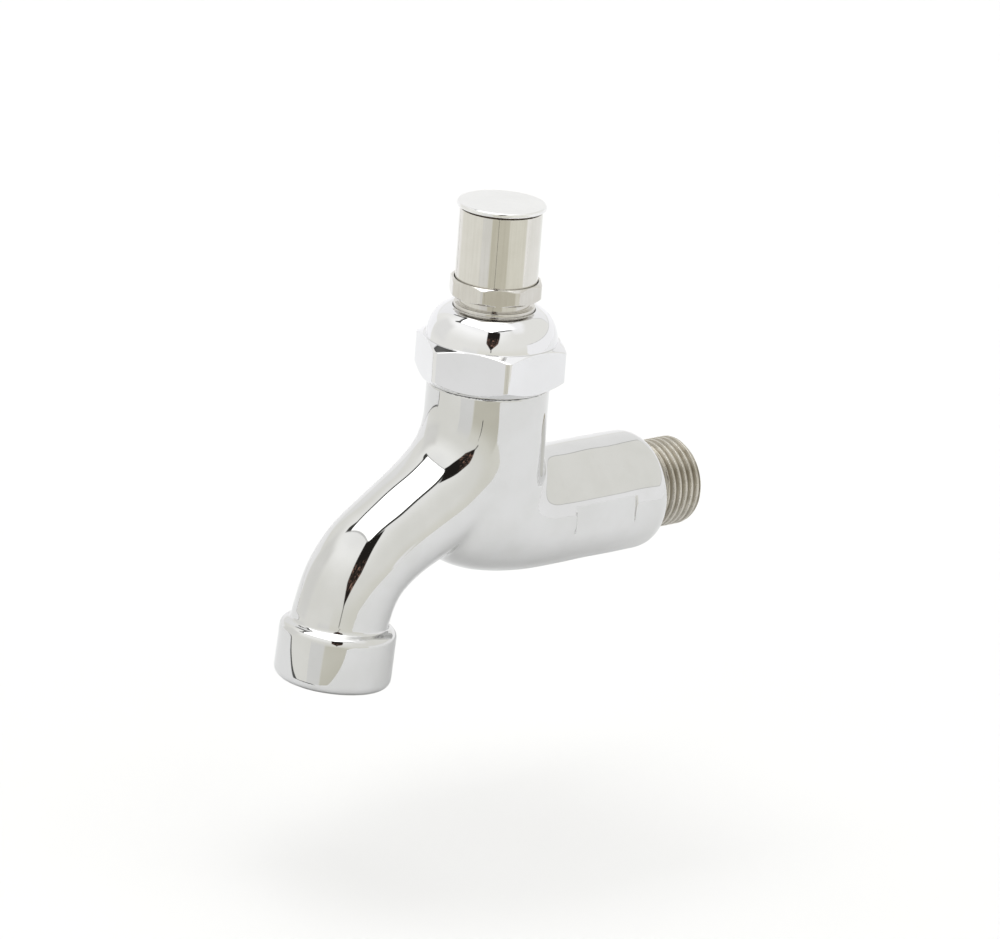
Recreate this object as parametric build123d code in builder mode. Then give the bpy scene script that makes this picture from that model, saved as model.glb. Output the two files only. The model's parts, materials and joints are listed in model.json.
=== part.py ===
from build123d import *
import os
from math import cos, pi, radians, sin

os.makedirs("parts", exist_ok=True)

# Push-button, self-closing wall faucet, in millimetres.
# Frame: the origin is the centre of the inlet's end face, +Y runs out of the inlet
# into the wall fitting, +Z is up, and the spout reaches towards -Y.
# Heights in this file are measured from the inlet's axis.

# --- Driving dimensions: inlet and shank -------------------------------------------
thread_crest_r = 10.6
thread_pitch = 25.4 / 14
thread_land = 0.45
thread_depth = 1.1
thread_root_r = thread_crest_r - thread_depth
thread_length = 12.0
relief_width = 1.5
relief_runout = 0.6
lead_in_length = 1.5
cutter_clearance = 0.3
groove_root_half = 0.05
groove_overshoot = 0.2
inlet_bore_r = 6.5
shank_r = 14.2
shank_shoulder_round = 5.0
neck_setback = 61.5
nose_start = -45.5
nose_length = 34.0
flat_half_width = 13.75
flat_start = -43.0
flat_end = -24.5

# --- Driving dimensions: neck and spout --------------------------------------------
neck_r = 14.4
neck_shoulder_z = 33.2
neck_top_z = 41.0
neck_spigot_r = 13.2
neck_dome_z = 5.0
neck_dome_depth = 14.0
chamber_r = 10.5
chamber_floor_z = 11.5
bridge_hole_r = 6.5
lower_chamber_r = 7.5
lower_chamber_top = 7.5
spout_r = 11.3
spout_root_r = 14.45
spout_taper_end = 0.62
spout_tuck = 4.75
spout_tuck_end = 0.34
passage_r = 5.8
outlet_tilt = 4.8
outlet_reach = 40.9
outlet_drop = 33.2
collar_r = 13.7
collar_height = 14.0
collar_top_round = 2.0
collar_lip_round = 2.4
collar_crown = 1.5
outlet_bore_r = 9.5
outlet_bore_depth = 12.0

# --- Driving dimensions: bonnet nut and gland --------------------------------------
nut_across_flats = 31.75
nut_turn = 34
nut_corner_r = 18.15
nut_bottom_r = 14.6
nut_bottom_z = 33.4
nut_bore_r = 13.4
nut_shoulder_z = 45.0
nut_hex_top_z = 44.1
nut_bottom_chamfer = 2.4
nut_top_chamfer = 1.2
dome_top_z = 51.5
dome_centre_z = 43.1
dome_hole_r = 9.6
dome_base_r = 15.5
flange_bottom_z = 42.0
flange_top_z = 44.9
flange_r = 13.0
gland_barrel_r = 9.5
gland_step_z = 52.3
gland_neck_r = 8.3
gland_skirt_r = 10.0
octagon_corner_r = 11.2
octagon_turn = 33
octagon_chamfer = 0.5
octagon_relief = 0.1
octagon_bottom_z = 54.2
octagon_top_z = 58.3
cap_well_r = 9.8
cap_well_floor = 55.2
seal_cavity_r = 4.9
seal_cavity_floor = 47.0
second_seal_rise = 4.0
stem_hole_gap = 0.3
socket_r = 8.0
socket_bottom_z = 36.0
socket_top_z = 45.0
bush_flange_r = 5.8
bush_flange_height = 1.0
spring_washer_height = 0.6
spring_washer_gap = 0.3

# --- Driving dimensions: cartridge -------------------------------------------------
sleeve_r = 8.0
sleeve_bore_r = 6.2
sleeve_top_z = 44.2
spigot_r = 6.45
spigot_bottom_z = 7.5
throat_r = 4.2
throat_top_z = 12.5
sleeve_groove_r = 5.6
sleeve_groove_z = 9.3
sleeve_groove_height = 1.5
sleeve_seal_wire_r = 0.42
sleeve_seal_mean_r = 6.03
seat_ring_r = 5.4
seat_pocket_z = 8.7
seat_face_z = 7.1
seat_lip_width = 0.7
seat_lip_slope = 0.2
window_z = 19.5
window_count = 4
window_height = 9.0
window_width = 5.0
stem_seal_wire_r = 0.9

# --- Driving dimensions: plunger, cap and spring -----------------------------------
running_gap = 0.05
stem_r = 3.0
stem_waist_r = 2.5
stem_tail_r = 2.0
stem_thread_r = 1.7
stem_bottom_z = 1.4
stem_top_z = 72.4
piston_bottom_z = 33.5
piston_top_z = 37.5
piston_gap = 0.1
cup_lip = 0.5
cup_lip_root = 0.75
cup_web = 0.9
cup_inner_lip = 0.45
cup_inner_root = 0.55
cup_flare = 0.2
cup_inner_r = 4.3
cup_bottom_z = 34.4
cup_top_z = 36.6
clip_bottom_z = 32.9
clip_groove_r = 1.9
clip_r = 3.6
clip_mouth = 3.0
clip_shoulder = 1.0
washer_r = 5.3
washer_top_z = 7.08
washer_bottom_z = 5.1
holder_r = 5.8
holder_bottom_z = 3.9
holder_lip_drop = 0.7
washer_nut_flats = 6.0
washer_nut_height = 2.0
needle_bore_r = 1.25
needle_r = 1.15
needle_groove_r = 0.75
needle_groove_z = 60.0
needle_seat_z = 38.6
needle_groove_height = 0.9
needle_lift = 0.1
needle_tip = 0.9
needle_cone = 2.0
needle_inset = 0.5
needle_slot = 0.5
bleed_r = 0.6
upper_drilling_r = 0.85
upper_drilling_z = 41.0
lower_drilling_z = 30.0
cap_r = 9.62
cap_wall = 1.0
cap_skirt_z = 57.8
cap_web_z = 67.5
cap_web_top_z = 69.5
cap_top_z = 75.4
cap_thread_r = 2.2
cap_nut_flats = 8.0
cap_nut_height = 2.4
disc_r = 10.4
disc_top_z = 76.5
disc_inset = 0.5
disc_spigot_wall = 1.2
disc_spigot_height = 2.0
disc_edge_low = 0.3
disc_edge_high = 0.35
spring_low_z = cap_well_floor + spring_washer_height
spring_wire_r = 0.55
spring_mean_r = 7.3
spring_turns = 5
spring_end_gap = 0.05

# --- Planes and axes shared by the parts -------------------------------------------
neck_axis = Axis((0, -neck_setback, 0), (0, 0, 1))
neck_plane = Plane(origin=(0, -neck_setback, 0), x_dir=(1, 0, 0), z_dir=(0, -1, 0))
side_plane = Plane(origin=(0, -neck_setback, 0), x_dir=(0, 1, 0), z_dir=(1, 0, 0))
outlet_down = Vector(0, -sin(radians(outlet_tilt)), -cos(radians(outlet_tilt)))
outlet_centre = Vector(0, -neck_setback - outlet_reach, -outlet_drop)
outlet_axis = Axis(outlet_centre, outlet_down)
outlet_plane = Plane(origin=outlet_centre, x_dir=(1, 0, 0), z_dir=-outlet_down)
collar_profile_plane = Plane(
    origin=outlet_centre, x_dir=(1, 0, 0), z_dir=Vector(1, 0, 0).cross(-outlet_down)
)


def neck_level(height):
    """Horizontal sketch plane on the neck's axis at a height."""
    return Plane(origin=(0, -neck_setback, height), x_dir=(1, 0, 0), z_dir=(0, 0, 1))


def turn(points, mode=Mode.ADD):
    """Revolve a closed outline of (radius, height) points about the neck's axis."""
    with BuildSketch(neck_plane) as outline:
        with BuildLine():
            Polyline(*points, close=True)
        make_face()
    revolve(outline.sketch, axis=neck_axis, mode=mode)


def turn_ring(inner_r, outer_r, low, high, mode=Mode.ADD):
    """A plain ring about the neck's axis."""
    turn([(inner_r, low), (outer_r, low), (outer_r, high), (inner_r, high)], mode)


def write(builder, name):
    """Label the finished part and write it as STEP."""
    builder.part.label = name
    export_step(builder.part, f"parts/{name}.step")


# --- Faucet body: one brass casting ------------------------------------------------
# The spout's centreline in the side plane, as (forward, up) from the neck's axis.
with BuildLine(side_plane) as spout_path:
    Spline((0, 30), (-6.4, 12.9), (-21.8, 2.2), (-36.1, -9.0), (-39.8, -18.7))

# The spout is a loft of circles that taper away from the neck.
with BuildPart() as spout_solid:
    for step in range(11):
        along = step / 10
        taper = max(0, 1 - along / spout_taper_end)
        tuck = max(0, 1 - along / spout_tuck_end) ** 2
        section = Plane(
            origin=spout_path.line @ along, x_dir=(1, 0, 0), z_dir=spout_path.line % along
        )
        with BuildSketch(section):
            Circle(spout_r + (spout_root_r - spout_r) * taper - spout_tuck * tuck)
    loft()

# The collar at the outlet, turned about the outlet's axis; radius, then height.
with BuildPart() as collar_solid:
    collar_shoulder = collar_height - collar_top_round
    with BuildSketch(collar_profile_plane):
        with BuildLine():
            Line((0, 0), (collar_r - collar_lip_round, 0))
            RadiusArc((collar_r - collar_lip_round, 0), (collar_r, collar_lip_round), -collar_lip_round)
            Line((collar_r, collar_lip_round), (collar_r, collar_shoulder))
            RadiusArc(
                (collar_r, collar_shoulder), (collar_r - collar_top_round, collar_height), -collar_top_round
            )
            Line((collar_r - collar_top_round, collar_height), (0, collar_height + collar_crown))
            Line((0, collar_height + collar_crown), (0, 0))
        make_face()
    revolve(axis=outlet_axis)

# The waterway: down out of the neck chamber, along the spout, into the outlet bore.
with BuildLine(side_plane) as passage_path:
    FilletPolyline((-1, 27), (-18, 6.5), (-33, -2.5), (-40, -23), radius=14)

with BuildPart() as passage_solid:
    with BuildSketch(
        Plane(origin=passage_path.line @ 0, x_dir=(1, 0, 0), z_dir=passage_path.line % 0)
    ):
        Circle(passage_r)
    sweep(path=passage_path.line)

# The nipple's cylinder is drawn as short arcs, so that its crest stays in short faces
# once the helical groove is cut.
crest_arcs = 12
arc_angle = 360 / crest_arcs

# Thread groove: a 60-degree notch swept along the pitch line, from the relief at the
# shoulder to past the free end.
shoulder_y = -thread_length
groove_start_y = shoulder_y + relief_width / 2
groove_mouth = (thread_pitch - thread_land) / 2
with BuildPart() as thread_groove:
    pitch_line = Helix(
        pitch=thread_pitch,
        height=thread_length + thread_pitch,
        radius=thread_root_r,
        center=(0, groove_start_y, 0),
        direction=(0, 1, 0),
    )
    groove_radial = Vector(0, 0, 1)
    with BuildSketch(
        Plane(
            origin=pitch_line @ 0, x_dir=groove_radial, z_dir=groove_radial.cross(Vector(0, 1, 0))
        )
    ):
        with BuildLine():
            groove_top = thread_depth + groove_overshoot
            groove_top_half = groove_mouth * groove_top / thread_depth
            Polyline(
                (0, -groove_root_half),
                (0, groove_root_half),
                (groove_top, groove_top_half),
                (groove_top, -groove_top_half),
                close=True,
            )
        make_face()
    sweep(path=pitch_line, is_frenet=True)

with BuildPart() as faucet_body:
    # Shank and its rounded front end, turned about the inlet's axis.
    with BuildSketch(Plane.YZ):
        with BuildLine():
            Line((nose_start - nose_length, 0), (shoulder_y, 0))
            Line((shoulder_y, 0), (shoulder_y, shank_r - shank_shoulder_round))
            RadiusArc(
                (shoulder_y, shank_r - shank_shoulder_round),
                (shoulder_y - shank_shoulder_round, shank_r),
                -shank_shoulder_round,
            )
            Line((shoulder_y - shank_shoulder_round, shank_r), (nose_start, shank_r))
            EllipticalCenterArc((nose_start, 0), nose_length, shank_r, 90, arc_size=90)
        make_face()
    revolve(axis=Axis.Y)
    # Shallow wrench flats on both sides of the shank.
    flat_depth = 4
    for side in (-1, 1):
        with Locations((side * (flat_half_width + flat_depth / 2), (flat_start + flat_end) / 2, 0)):
            Box(flat_depth, flat_end - flat_start, 4 * flat_depth, mode=Mode.SUBTRACT)
    # Neck, with a domed lower end inside the shank.
    with BuildSketch(neck_plane):
        with BuildLine():
            Line((0, neck_shoulder_z), (neck_r, neck_shoulder_z))
            Line((neck_r, neck_shoulder_z), (neck_r, neck_dome_z))
            EllipticalCenterArc((0, neck_dome_z), neck_r, neck_dome_depth, 270, arc_size=90)
            Line((0, neck_dome_z - neck_dome_depth), (0, neck_shoulder_z))
        make_face()
    revolve(axis=neck_axis)
    add(spout_solid.part)
    add(collar_solid.part)
    # Male spigot that takes the bonnet nut.
    turn_ring(0, neck_spigot_r, neck_shoulder_z, neck_top_z)
    # Chambers above and below the bridge, and the hole through it.
    turn_ring(0, chamber_r, chamber_floor_z, neck_top_z, Mode.SUBTRACT)
    turn_ring(0, bridge_hole_r, lower_chamber_top, chamber_floor_z, Mode.SUBTRACT)
    turn_ring(0, lower_chamber_r, 0, lower_chamber_top, Mode.SUBTRACT)
    with Locations((0, -neck_setback, 0)):
        Sphere(lower_chamber_r, mode=Mode.SUBTRACT)
    # Waterway through the spout, and the outlet bore in the collar.
    add(passage_solid.part, mode=Mode.SUBTRACT)
    with Locations(outlet_plane):
        Cylinder(
            outlet_bore_r,
            outlet_bore_depth,
            align=(Align.CENTER, Align.CENTER, Align.MIN),
            mode=Mode.SUBTRACT,
        )
    # Inlet nipple; nothing is cleaned from here on, so its short faces stay apart.
    with BuildSketch(Plane.XZ):
        with BuildLine():
            for arc in range(crest_arcs):
                CenterArc((0, 0), thread_crest_r, arc * arc_angle, arc_size=arc_angle)
        make_face()
    extrude(amount=thread_length + 1, clean=False)
    with BuildSketch(Plane.YZ):
        with BuildLine():
            Polyline(
                (shoulder_y, thread_root_r),
                (shoulder_y + relief_width, thread_root_r),
                (shoulder_y + relief_width + relief_runout, thread_crest_r + cutter_clearance),
                (shoulder_y, thread_crest_r + cutter_clearance),
                close=True,
            )
        make_face()
    revolve(axis=Axis.Y, mode=Mode.SUBTRACT, clean=False)
    with BuildSketch(Plane.YZ):
        with BuildLine():
            Polyline(
                (0, thread_root_r - 2 * groove_root_half),
                (0, thread_crest_r + cutter_clearance),
                (-lead_in_length, thread_crest_r + cutter_clearance),
                close=True,
            )
        make_face()
    revolve(axis=Axis.Y, mode=Mode.SUBTRACT, clean=False)
    add(thread_groove.part, mode=Mode.SUBTRACT, clean=False)
    with BuildSketch(Plane.XZ):
        Circle(inlet_bore_r)
    extrude(amount=neck_setback, mode=Mode.SUBTRACT, clean=False)
write(faucet_body, "faucet_body")

# --- Bonnet nut: hexagon with a domed top ------------------------------------------
with BuildPart() as bonnet_nut:
    with BuildSketch(neck_level(nut_bottom_z)):
        RegularPolygon(nut_across_flats / 2, 6, major_radius=False, rotation=nut_turn)
    extrude(amount=nut_hex_top_z - nut_bottom_z)
    # Corners turned down at both ends.
    turn(
        [
            (0, nut_bottom_z),
            (nut_bottom_r, nut_bottom_z),
            (nut_corner_r, nut_bottom_z + nut_bottom_chamfer),
            (nut_corner_r, nut_hex_top_z - nut_top_chamfer),
            (dome_base_r, nut_hex_top_z),
            (0, nut_hex_top_z),
        ],
        Mode.INTERSECT,
    )
    with BuildSketch(neck_plane):
        with BuildLine():
            dome_rise = dome_top_z - dome_centre_z
            Line((0, dome_centre_z), (0, dome_top_z))
            Line((0, dome_top_z), (dome_hole_r, dome_top_z))
            EllipticalCenterArc(
                (dome_hole_r, dome_centre_z), dome_base_r - dome_hole_r, dome_rise, 0, arc_size=90
            )
            Line((dome_base_r, dome_centre_z), (0, dome_centre_z))
        make_face()
    revolve(axis=neck_axis)
    # Bore over the spigot and the gland's flange, then the hole for the gland.
    turn_ring(0, nut_bore_r, nut_bottom_z, nut_shoulder_z, Mode.SUBTRACT)
    turn_ring(0, dome_hole_r, nut_shoulder_z, dome_top_z, Mode.SUBTRACT)
write(bonnet_nut, "bonnet_nut")

with BuildPart() as bonnet_gasket:
    turn_ring(chamber_r, neck_spigot_r, neck_top_z, flange_bottom_z)
write(bonnet_gasket, "bonnet_gasket")

# --- Gland: octagonal head, seal cavity and cartridge socket -----------------------
with BuildPart() as gland:
    with BuildSketch(neck_level(octagon_bottom_z)):
        RegularPolygon(octagon_corner_r, 8, rotation=octagon_turn)
    extrude(amount=octagon_top_z - octagon_bottom_z)
    octagon_chamfer_r = octagon_corner_r * cos(pi / 8) - octagon_relief
    turn(
        [
            (0, octagon_bottom_z),
            (octagon_chamfer_r, octagon_bottom_z),
            (octagon_corner_r, octagon_bottom_z + octagon_chamfer),
            (octagon_corner_r, octagon_top_z - octagon_chamfer),
            (octagon_chamfer_r, octagon_top_z),
            (0, octagon_top_z),
        ],
        Mode.INTERSECT,
    )
    turn(
        [
            (0, socket_bottom_z),
            (gland_skirt_r, socket_bottom_z),
            (gland_skirt_r, flange_bottom_z),
            (flange_r, flange_bottom_z),
            (flange_r, flange_top_z),
            (gland_barrel_r, flange_top_z),
            (gland_barrel_r, gland_step_z),
            (gland_neck_r, gland_step_z),
            (gland_neck_r, octagon_bottom_z),
            (0, octagon_bottom_z),
        ]
    )
    turn_ring(0, cap_well_r, cap_well_floor, octagon_top_z, Mode.SUBTRACT)
    turn_ring(0, seal_cavity_r, seal_cavity_floor, cap_well_floor, Mode.SUBTRACT)
    turn_ring(0, stem_r + stem_hole_gap, socket_top_z, seal_cavity_floor, Mode.SUBTRACT)
    turn_ring(0, socket_r, socket_bottom_z, socket_top_z, Mode.SUBTRACT)
write(gland, "gland")

with BuildPart() as stem_seals:
    for seal_z in (seal_cavity_floor + stem_seal_wire_r, seal_cavity_floor + second_seal_rise):
        with Locations((0, -neck_setback, seal_z)):
            Torus(stem_r + running_gap + stem_seal_wire_r, stem_seal_wire_r)
write(stem_seals, "stem_seals")

with BuildPart() as seal_spacer:
    spacer_low = seal_cavity_floor + 2 * stem_seal_wire_r
    spacer_high = seal_cavity_floor + second_seal_rise - stem_seal_wire_r
    turn_ring(stem_r + running_gap, seal_cavity_r - running_gap, spacer_low, spacer_high)
write(seal_spacer, "seal_spacer")

with BuildPart() as guide_bush:
    bush_bottom = seal_cavity_floor + second_seal_rise + stem_seal_wire_r
    turn(
        [
            (stem_r + running_gap, bush_bottom),
            (seal_cavity_r, bush_bottom),
            (seal_cavity_r, cap_well_floor),
            (bush_flange_r, cap_well_floor),
            (bush_flange_r, cap_well_floor + bush_flange_height),
            (stem_r + running_gap, cap_well_floor + bush_flange_height),
        ]
    )
write(guide_bush, "guide_bush")

with BuildPart() as spring_washer:
    turn_ring(
        bush_flange_r + 2 * running_gap, cap_r - cap_wall - spring_washer_gap, cap_well_floor, spring_low_z
    )
write(spring_washer, "spring_washer")

# --- Cartridge sleeve, its windows, seals and seat ---------------------------------
with BuildPart() as cartridge_sleeve:
    turn(
        [
            (throat_r, spigot_bottom_z),
            (spigot_r, spigot_bottom_z),
            (spigot_r, chamber_floor_z),
            (sleeve_r, chamber_floor_z),
            (sleeve_r, sleeve_top_z),
            (sleeve_bore_r, sleeve_top_z),
            (sleeve_bore_r, throat_top_z),
            (throat_r, throat_top_z),
        ]
    )
    sleeve_groove_top = sleeve_groove_z + sleeve_groove_height
    turn_ring(sleeve_groove_r, spigot_r, sleeve_groove_z, sleeve_groove_top, Mode.SUBTRACT)
    turn_ring(throat_r, seat_ring_r, spigot_bottom_z, seat_pocket_z, Mode.SUBTRACT)
    # Windows where the water leaves for the spout.
    window_plane = Plane(
        origin=(0, -neck_setback, window_z), x_dir=(0, 0, 1), z_dir=(0, 1, 0)
    )
    for window in range(window_count):
        turned_plane = window_plane.rotated((window * 360 / window_count, 0, 0))
        with BuildSketch(turned_plane):
            SlotOverall(window_height, window_width)
        extrude(amount=2 * sleeve_r, mode=Mode.SUBTRACT)
write(cartridge_sleeve, "cartridge_sleeve")

with BuildPart() as sleeve_gasket:
    turn_ring(sleeve_bore_r, sleeve_r, sleeve_top_z, socket_top_z)
write(sleeve_gasket, "sleeve_gasket")

with BuildPart() as sleeve_seal:
    with Locations((0, -neck_setback, sleeve_groove_z + sleeve_groove_height / 2)):
        Torus(sleeve_seal_mean_r, sleeve_seal_wire_r)
write(sleeve_seal, "sleeve_seal")

with BuildPart() as seat_ring:
    turn(
        [
            (throat_r, seat_face_z),
            (throat_r + seat_lip_width, seat_face_z),
            (throat_r + seat_lip_width + seat_lip_slope, spigot_bottom_z),
            (seat_ring_r, spigot_bottom_z),
            (seat_ring_r, seat_pocket_z),
            (throat_r, seat_pocket_z),
        ]
    )
write(seat_ring, "seat_ring")

# --- Stem and what it carries below the gland --------------------------------------
with BuildPart() as stem:
    turn(
        [
            (0, stem_bottom_z),
            (stem_thread_r, stem_bottom_z),
            (stem_thread_r, washer_top_z),
            (stem_tail_r, washer_top_z),
            (stem_tail_r, clip_bottom_z - clip_shoulder),
            (stem_waist_r, clip_bottom_z - clip_shoulder),
            (stem_waist_r, clip_bottom_z),
            (clip_groove_r, clip_bottom_z),
            (clip_groove_r, piston_bottom_z),
            (stem_waist_r, piston_bottom_z),
            (stem_waist_r, piston_top_z),
            (stem_r, piston_top_z),
            (stem_r, cap_web_z),
            (cap_thread_r, cap_web_z),
            (cap_thread_r, stem_top_z),
            (0, stem_top_z),
        ]
    )
    # Metering passage: wide for the needle, narrow below it, with cross drillings.
    turn_ring(0, needle_bore_r, needle_seat_z, stem_top_z, Mode.SUBTRACT)
    turn_ring(0, bleed_r, lower_drilling_z, needle_seat_z, Mode.SUBTRACT)
    for drilling_z, drilling_r in ((upper_drilling_z, upper_drilling_r), (lower_drilling_z, bleed_r)):
        with BuildSketch(Plane(origin=(0, -neck_setback, drilling_z), x_dir=(0, 1, 0), z_dir=(1, 0, 0))):
            Circle(drilling_r)
        extrude(amount=2 * stem_r, both=True, mode=Mode.SUBTRACT)
write(stem, "stem")

with BuildPart() as dashpot_piston:
    piston_r = sleeve_bore_r - piston_gap
    turn_ring(stem_waist_r + running_gap, piston_r, piston_bottom_z, piston_top_z)
    turn_ring(cup_inner_r, piston_r, cup_bottom_z, cup_top_z, Mode.SUBTRACT)
write(dashpot_piston, "dashpot_piston")

with BuildPart() as cup_seal:
    cup_outer_r = sleeve_bore_r - running_gap
    turn(
        [
            (cup_inner_r, cup_bottom_z),
            (cup_outer_r - cup_flare, cup_bottom_z),
            (cup_outer_r, cup_top_z),
            (cup_outer_r - cup_lip, cup_top_z),
            (cup_outer_r - cup_lip_root, cup_bottom_z + cup_web),
            (cup_inner_r + cup_inner_root, cup_bottom_z + cup_web),
            (cup_inner_r + cup_inner_lip, cup_top_z),
            (cup_inner_r, cup_top_z),
        ]
    )
write(cup_seal, "cup_seal")

with BuildPart() as piston_clip:
    turn_ring(clip_groove_r, clip_r, clip_bottom_z, piston_bottom_z)
    with Locations((0, -neck_setback - clip_r, (clip_bottom_z + piston_bottom_z) / 2)):
        Box(clip_mouth, 2 * clip_r, 2 * clip_shoulder, mode=Mode.SUBTRACT)
write(piston_clip, "piston_clip")

with BuildPart() as washer_holder:
    turn(
        [
            (stem_thread_r, holder_bottom_z),
            (holder_r, holder_bottom_z),
            (holder_r, washer_top_z - holder_lip_drop),
            (washer_r, washer_top_z - holder_lip_drop),
            (washer_r, washer_bottom_z),
            (stem_thread_r, washer_bottom_z),
        ]
    )
write(washer_holder, "washer_holder")

with BuildPart() as seat_washer:
    turn_ring(stem_thread_r, washer_r, washer_bottom_z, washer_top_z)
write(seat_washer, "seat_washer")

with BuildPart() as washer_nut:
    with BuildSketch(neck_level(holder_bottom_z - washer_nut_height)):
        RegularPolygon(washer_nut_flats / 2, 6, major_radius=False)
        Circle(stem_thread_r, mode=Mode.SUBTRACT)
    extrude(amount=washer_nut_height)
write(washer_nut, "washer_nut")

# --- Metering needle, inside the stem -----------------------------------------------
with BuildPart() as metering_needle:
    turn(
        [
            (0, needle_seat_z + needle_lift),
            (bleed_r, needle_seat_z + needle_tip),
            (needle_r, needle_seat_z + needle_cone),
            (needle_r, needle_groove_z),
            (needle_groove_r, needle_groove_z),
            (needle_groove_r, needle_groove_z + needle_groove_height),
            (needle_r, needle_groove_z + needle_groove_height),
            (needle_r, stem_top_z - needle_inset),
            (0, stem_top_z - needle_inset),
        ]
    )
    with Locations((0, -neck_setback, stem_top_z - needle_inset)):
        Box(4 * needle_r, needle_slot, 2 * needle_slot, mode=Mode.SUBTRACT)
write(metering_needle, "metering_needle")

with BuildPart() as needle_seal:
    needle_seal_wire_r = (needle_bore_r - needle_groove_r) / 2
    with Locations((0, -neck_setback, needle_groove_z + needle_groove_height / 2)):
        Torus(needle_groove_r + needle_seal_wire_r, needle_seal_wire_r)
write(needle_seal, "needle_seal")

# --- Push cap: barrel, disc and locknut ---------------------------------------------
with BuildPart() as cap_barrel:
    turn_ring(cap_r - cap_wall, cap_r, cap_skirt_z, cap_top_z)
    turn_ring(cap_thread_r, cap_r - cap_wall, cap_web_z, cap_web_top_z)
write(cap_barrel, "cap_barrel")

with BuildPart() as cap_disc:
    spigot_outer_r = cap_r - cap_wall
    turn(
        [
            (0, cap_top_z - disc_inset),
            (spigot_outer_r - disc_spigot_wall, cap_top_z - disc_inset),
            (spigot_outer_r - disc_spigot_wall, cap_top_z - disc_spigot_height),
            (spigot_outer_r, cap_top_z - disc_spigot_height),
            (spigot_outer_r, cap_top_z),
            (disc_r - disc_edge_low, cap_top_z),
            (disc_r, cap_top_z + disc_edge_low),
            (disc_r, disc_top_z - disc_edge_high),
            (disc_r - disc_edge_high, disc_top_z),
            (0, disc_top_z),
        ]
    )
write(cap_disc, "cap_disc")

with BuildPart() as cap_nut:
    with BuildSketch(neck_level(cap_web_top_z)):
        RegularPolygon(cap_nut_flats / 2, 6, major_radius=False)
        Circle(cap_thread_r, mode=Mode.SUBTRACT)
    extrude(amount=cap_nut_height)
write(cap_nut, "cap_nut")

# --- Return spring, between its washer and the cap's web ----------------------------
with BuildPart() as return_spring:
    coil_height = cap_web_z - spring_low_z - 2 * (spring_wire_r + spring_end_gap)
    coil_start = spring_low_z + spring_wire_r + spring_end_gap
    coil = Helix(
        pitch=coil_height / spring_turns,
        height=coil_height,
        radius=spring_mean_r,
        center=(0, -neck_setback, coil_start),
    )
    with BuildSketch(Plane(origin=coil @ 0, x_dir=(1, 0, 0), z_dir=coil % 0)):
        Circle(spring_wire_r)
    sweep(path=coil, is_frenet=True)
write(return_spring, "return_spring")
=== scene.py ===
import json
from math import cos, pi, radians, sin, tan

import bpy
import numpy as np
from mathutils import Matrix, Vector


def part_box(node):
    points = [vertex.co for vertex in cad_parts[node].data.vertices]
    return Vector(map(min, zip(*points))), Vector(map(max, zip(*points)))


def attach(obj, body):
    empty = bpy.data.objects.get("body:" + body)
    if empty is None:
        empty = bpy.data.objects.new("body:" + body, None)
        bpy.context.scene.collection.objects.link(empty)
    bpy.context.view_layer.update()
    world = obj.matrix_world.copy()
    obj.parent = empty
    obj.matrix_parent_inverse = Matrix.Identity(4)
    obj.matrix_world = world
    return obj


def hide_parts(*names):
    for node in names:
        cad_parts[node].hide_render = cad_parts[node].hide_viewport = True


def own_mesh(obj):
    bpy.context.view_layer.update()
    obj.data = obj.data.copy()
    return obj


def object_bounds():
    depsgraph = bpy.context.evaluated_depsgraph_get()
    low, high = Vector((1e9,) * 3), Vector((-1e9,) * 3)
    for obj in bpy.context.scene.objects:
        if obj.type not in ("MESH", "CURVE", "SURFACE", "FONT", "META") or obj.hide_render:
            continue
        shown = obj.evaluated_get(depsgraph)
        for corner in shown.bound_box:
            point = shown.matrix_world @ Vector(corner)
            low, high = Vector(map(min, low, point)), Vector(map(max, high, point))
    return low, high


# Push-button wall faucet. Shapes are worked out in millimetres in the frame's axes (origin at the
# inlet's end face, +Y into the wall, +Z up) and turned into metres when a mesh is made.
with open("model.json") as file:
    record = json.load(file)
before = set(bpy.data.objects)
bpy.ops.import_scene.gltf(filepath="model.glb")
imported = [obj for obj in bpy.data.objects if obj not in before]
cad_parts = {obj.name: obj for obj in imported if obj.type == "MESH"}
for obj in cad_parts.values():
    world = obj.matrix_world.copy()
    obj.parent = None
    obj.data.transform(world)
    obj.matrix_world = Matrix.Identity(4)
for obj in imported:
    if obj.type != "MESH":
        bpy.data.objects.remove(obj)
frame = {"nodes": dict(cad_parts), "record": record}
cad_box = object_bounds()
nodes = frame["nodes"]
MM = 0.001

# --- Driving dimensions, in millimetres unless a comment says otherwise -------------------------
# Neck, and the spigot above it that carries the nut.
NECK_Y = 1000 * (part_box("gland")[0].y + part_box("gland")[1].y) / 2
NECK_R = 14.4
NECK_TOP = 33.2
NECK_DOME = 5.0
SPIGOT_R = 13.2
SPIGOT_TOP = 41.0
SPIGOT_ROUND = 0.5

# Shank towards the wall, its rounded nose under the neck, and its two wrench flats.
SHANK_R = 14.25
SHOULDER_Y = -12.0
SHOULDER_ROUND = 5.0
NOSE_Y = -46.2
NOSE_LENGTH = 32.9
FLAT_X = 13.75
FLAT_Y = -33.75
FLAT_LENGTH = 18.5
FLAT_HALF_HEIGHT = 8.0
FLAT_CORNER = 0.3

# Spout: points of its middle line as (y from the neck's axis, height). Both ends are shares of
# that line's length.
SPOUT_POINTS = [(0, 30), (-6.4, 12.9), (-21.8, 2.2), (-36.1, -9.0), (-39.8, -18.7)]
SPOUT_STEPS = 90
SPOUT_R = 11.3
SPOUT_ROOT_R = 14.45
SPOUT_TAPER_END = 0.62
SPOUT_TUCK = 4.75
SPOUT_TUCK_END = 0.34
SPOUT_SMOOTHING = 9

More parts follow.
